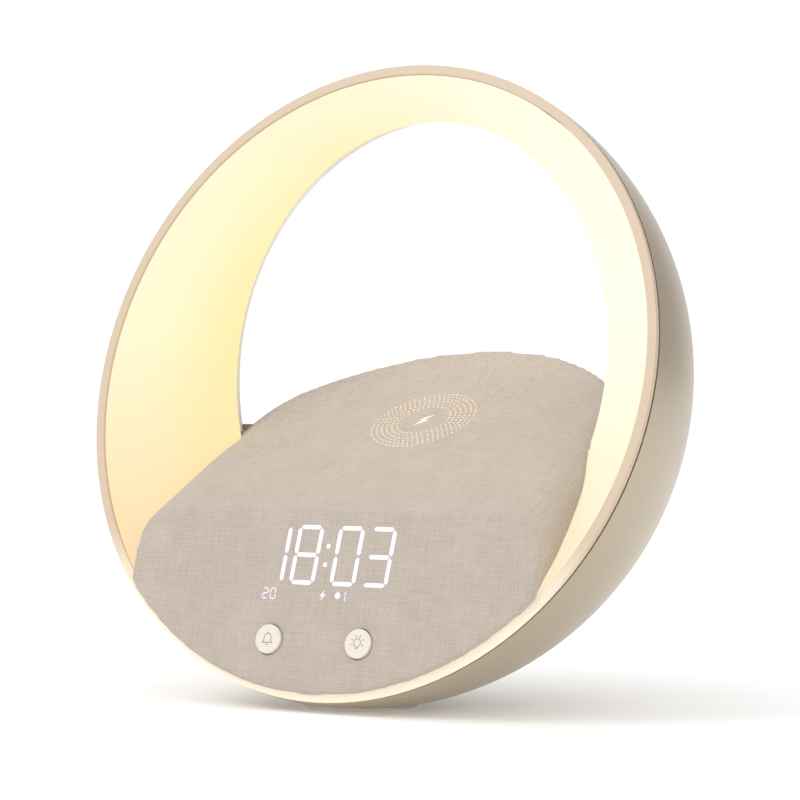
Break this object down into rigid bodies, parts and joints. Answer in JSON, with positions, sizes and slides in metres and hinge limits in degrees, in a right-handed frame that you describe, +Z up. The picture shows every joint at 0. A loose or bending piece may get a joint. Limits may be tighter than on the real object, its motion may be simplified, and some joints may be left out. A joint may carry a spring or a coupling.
{
  "type": "sunrise alarm clock",
  "caption": "Leaning round ring lamp alarm clock with a glowing inner wall and a fabric-covered body that carries a clock display, buttons and a sloping charging pad.",
  "frame": {"origin": "centre of the foot's underside, on the surface that the clock stands on, below the rim's centre", "axes": "+X to the right of someone who faces the display, +Y to the back, +Z up; the ring leans back by 15.4 degrees"},
  "size_m": [0.2304, 0.1444, 0.2261],
  "materials": {
    "shell_paint": "satin champagne paint with a fine metallic flake",
    "cover_paint": "satin champagne paint, fine texture",
    "rim_paint": "satin beige",
    "seal_rubber": "dark matte",
    "lit_diffuser": "frosted, glowing warm white",
    "back_plastic": "fine matte",
    "foot_rubber": "matte",
    "ballast_iron": "as cast",
    "screw_steel": "plated",
    "woven_fabric": "fine plain weave, heathered beige",
    "core_plastic": "moulded",
    "mask_plastic": "black moulded",
    "led_plastic": "phosphor yellow",
    "circuit_board": "solder mask",
    "button_plastic": "satin cream",
    "dome_silicone": "translucent silicone",
    "coil_copper": "enamelled copper wire",
    "ferrite": "dark sintered sheet",
    "carrier_aluminium": "rolled",
    "strip_film": "white film",
    "speaker_steel": "black",
    "cone_paper": "pressed paper",
    "chip_plastic": "moulded",
    "inlet_steel": "drawn",
    "cell_steel": "pressed",
    "holder_plastic": "moulded"
  },
  "bodies": {
    "housing": {"outer_shell": "shell_paint", "foot_pad": "foot_rubber", "ballast_block": "ballast_iron", "rim_band": "rim_paint", "parting_seal": "seal_rubber", "diffuser_wall": "lit_diffuser", "ring_back_wall": "back_plastic", "rear_cover": "cover_paint", "rear_screws": "screw_steel", "fabric_cover": "woven_fabric", "body_core": "core_plastic", "display_mask": "mask_plastic", "display_leds": "led_plastic", "front_board": "circuit_board", "bell_dome": "dome_silicone", "light_dome": "dome_silicone", "charge_coil": "coil_copper", "ferrite_disc": "ferrite", "charger_board": "circuit_board", "led_carrier": "carrier_aluminium", "led_strip": "strip_film", "led_chips": "led_plastic", "speaker_frame": "speaker_steel", "speaker_cone": "cone_paper", "main_board": "circuit_board", "board_chips": "chip_plastic", "power_inlet": "inlet_steel", "coin_cell": "cell_steel", "cell_holder": "holder_plastic"},
    "bell_key": {"bell_button": "button_plastic"},
    "light_key": {"light_button": "button_plastic"}
  },
  "joints": [
    {"name": "bell_press", "type": "slide", "parent": "housing", "child": "bell_key", "axis": [0, 0.9641, -0.2656], "range_m": [0, 0.0006], "stiffness_N_per_m": 900, "deforming": ["bell_dome"]},
    {"name": "light_press", "type": "slide", "parent": "housing", "child": "light_key", "axis": [0, 0.9641, -0.2656], "range_m": [0, 0.0006], "stiffness_N_per_m": 900, "deforming": ["light_dome"]}
  ]
}
